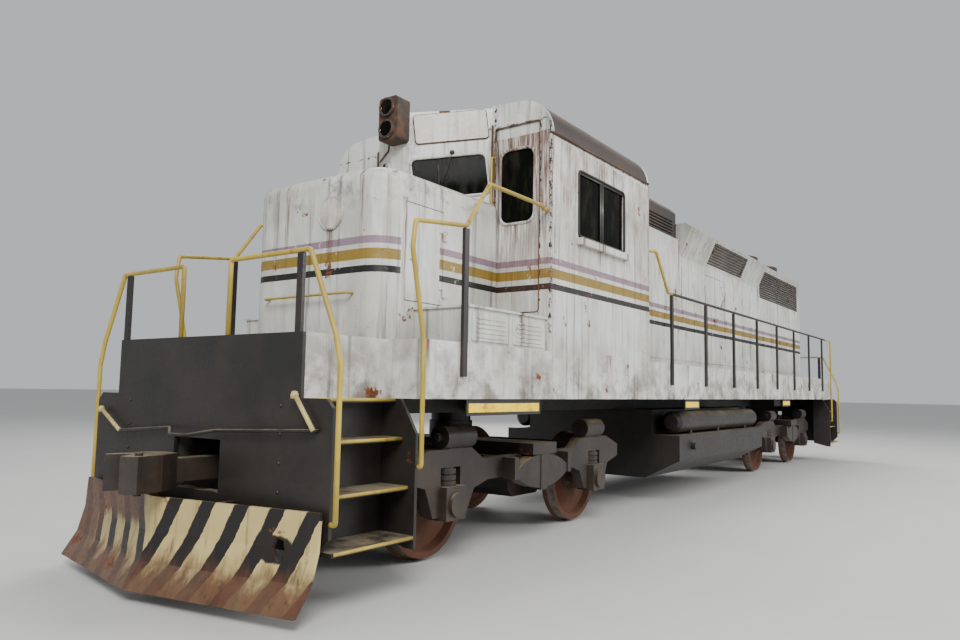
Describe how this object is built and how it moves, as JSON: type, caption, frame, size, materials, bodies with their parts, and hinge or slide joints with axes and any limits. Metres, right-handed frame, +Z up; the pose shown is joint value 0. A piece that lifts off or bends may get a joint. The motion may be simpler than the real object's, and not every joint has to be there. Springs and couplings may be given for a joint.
{
  "type": "diesel road switcher locomotive",
  "caption": "Four-axle low-nose diesel road switcher in weathered white with mauve, gold and black stripes, black running gear and a striped snow plow",
  "frame": {"origin": "centre of the outline on the floor, where the wheel flanges stand", "axes": "X forward to the nose, Y to the locomotive's left, Z up"},
  "size_m": [18.034, 3.168, 4.6899],
  "materials": {
    "black_steel": "matt, dusty",
    "white_paint": "weathered satin white",
    "roof_paint": "matt, sooty brown",
    "plow_paint": "cream and black bars, scraped",
    "yellow_paint": "weathered gloss yellow",
    "number_blank": "satin black",
    "lamp": "reflector under glass",
    "glass": "dark grey-green",
    "cab_trim": "satin grey-green",
    "seat_cover": "worn vinyl",
    "engine_paint": "oily grey",
    "horn_metal": "dull cast",
    "fan_metal": "dull, dusty",
    "truck_steel": "oily, dusty, rust patches",
    "wheel_steel": "worn tread, rusty web"
  },
  "bodies": {
    "body": {"underframe": "black_steel", "deck": "black_steel", "aprons": "black_steel", "pilot_front": "black_steel", "pilot_rear": "black_steel", "step_wells": "black_steel", "fuel_tank": "black_steel", "air_reservoirs": "black_steel", "stanchions": "black_steel", "side_rails": "black_steel", "side_sills": "white_paint", "battery_boxes": "white_paint", "nose": "white_paint", "cab_front_wall": "white_paint", "cab_rear_wall": "white_paint", "cab_left_wall": "white_paint", "cab_right_wall": "white_paint", "filter_section": "white_paint", "engine_hood": "white_paint", "brake_housing": "white_paint", "radiator_section": "white_paint", "cab_roof": "roof_paint", "filter_hatch": "roof_paint", "fan_housings": "roof_paint", "exhaust_stacks": "roof_paint", "grilles": "roof_paint", "snow_plow": "plow_paint", "corner_rails": "yellow_paint", "number_boards": "number_blank", "headlights": "lamp", "cab_glass": "glass", "cab_floor": "cab_trim", "control_stand": "cab_trim", "seats": "seat_cover", "engine_block": "engine_paint", "air_horn": "horn_metal"},
    "truck_front": {"truck_frame_front": "truck_steel", "truck_springs_front": "truck_steel", "brake_rigging_front": "truck_steel", "traction_motors_front": "truck_steel"},
    "truck_rear": {"truck_frame_rear": "truck_steel", "truck_springs_rear": "truck_steel", "brake_rigging_rear": "truck_steel", "traction_motors_rear": "truck_steel"},
    "wheelset_1_body": {"wheelset_1": "wheel_steel"},
    "wheelset_2_body": {"wheelset_2": "wheel_steel"},
    "wheelset_3_body": {"wheelset_3": "wheel_steel"},
    "wheelset_4_body": {"wheelset_4": "wheel_steel"},
    "radiator_fan_front_body": {"radiator_fan_front": "fan_metal"},
    "radiator_fan_rear_body": {"radiator_fan_rear": "fan_metal"},
    "brake_fan_body": {"brake_fan": "fan_metal"},
    "nose_door_body": {"nose_door": "white_paint"},
    "cab_front_door_body": {"cab_front_door": "white_paint"},
    "cab_rear_door_body": {"cab_rear_door": "white_paint"},
    "engine_door_left_front_body": {"engine_door_left_front": "white_paint"},
    "engine_door_left_rear_body": {"engine_door_left_rear": "white_paint"},
    "engine_door_right_front_body": {"engine_door_right_front": "white_paint"},
    "engine_door_right_rear_body": {"engine_door_right_rear": "white_paint"},
    "coupler_front_body": {"coupler_front": "truck_steel"},
    "coupler_rear_body": {"coupler_rear": "truck_steel"}
  },
  "joints": [
    {"name": "truck_front_swivel", "type": "hinge", "parent": "body", "child": "truck_front", "pos_m": [5.18, 0, 1.2], "axis": [0, 0, 1], "range_deg": [-6, 6]},
    {"name": "truck_rear_swivel", "type": "hinge", "parent": "body", "child": "truck_rear", "pos_m": [-5.18, 0, 1.2], "axis": [0, 0, 1], "range_deg": [-6, 6]},
    {"name": "wheelset_1_roll", "type": "hinge", "parent": "truck_front", "child": "wheelset_1_body", "pos_m": [6.552, 0, 0.533], "axis": [0, 1, 0], "continuous": true},
    {"name": "wheelset_2_roll", "type": "hinge", "parent": "truck_front", "child": "wheelset_2_body", "pos_m": [3.808, 0, 0.533], "axis": [0, 1, 0], "continuous": true},
    {"name": "wheelset_3_roll", "type": "hinge", "parent": "truck_rear", "child": "wheelset_3_body", "pos_m": [-3.808, 0, 0.533], "axis": [0, 1, 0], "continuous": true},
    {"name": "wheelset_4_roll", "type": "hinge", "parent": "truck_rear", "child": "wheelset_4_body", "pos_m": [-6.552, 0, 0.533], "axis": [0, 1, 0], "continuous": true},
    {"name": "radiator_fan_front_spin", "type": "hinge", "parent": "body", "child": "radiator_fan_front_body", "pos_m": [-4.75, 0, 4.4], "axis": [0, 0, 1], "continuous": true},
    {"name": "radiator_fan_rear_spin", "type": "hinge", "parent": "body", "child": "radiator_fan_rear_body", "pos_m": [-6.35, 0, 4.4], "axis": [0, 0, 1], "continuous": true},
    {"name": "brake_fan_spin", "type": "hinge", "parent": "body", "child": "brake_fan_body", "pos_m": [-1.6, 0, 4.32], "axis": [0, 0, 1], "continuous": true},
    {"name": "coupler_front_swing", "type": "hinge", "parent": "body", "child": "coupler_front_body", "pos_m": [7.8, 0, 0.901], "axis": [0, 0, 1], "range_deg": [-6, 6]},
    {"name": "coupler_rear_swing", "type": "hinge", "parent": "body", "child": "coupler_rear_body", "pos_m": [-7.8, 0, 0.901], "axis": [0, 0, 1], "range_deg": [-6, 6]},
    {"name": "nose_door_hinge", "type": "hinge", "parent": "body", "child": "nose_door_body", "pos_m": [6.48, 0.894, 2.745], "axis": [0, 0, 1], "range_deg": [0, 110]},
    {"name": "cab_front_door_hinge", "type": "hinge", "parent": "body", "child": "cab_front_door_body", "pos_m": [5.536, 1.38, 3.285], "axis": [0, 0, -1], "range_deg": [0, 88]},
    {"name": "cab_rear_door_hinge", "type": "hinge", "parent": "body", "child": "cab_rear_door_body", "pos_m": [3.264, -1.38, 3.285], "axis": [0, 0, -1], "range_deg": [0, 88]},
    {"name": "engine_door_left_front_hinge", "type": "hinge", "parent": "body", "child": "engine_door_left_front_body", "pos_m": [-0.6, 0.929, 2.8], "axis": [0, 0, -1], "range_deg": [0, 100]},
    {"name": "engine_door_left_rear_hinge", "type": "hinge", "parent": "body", "child": "engine_door_left_rear_body", "pos_m": [-1.616, 0.929, 2.8], "axis": [0, 0, 1], "range_deg": [0, 100]},
    {"name": "engine_door_right_front_hinge", "type": "hinge", "parent": "body", "child": "engine_door_right_front_body", "pos_m": [-0.6, -0.929, 2.8], "axis": [0, 0, 1], "range_deg": [0, 100]},
    {"name": "engine_door_right_rear_hinge", "type": "hinge", "parent": "body", "child": "engine_door_right_rear_body", "pos_m": [-1.616, -0.929, 2.8], "axis": [0, 0, -1], "range_deg": [0, 100]}
  ]
}
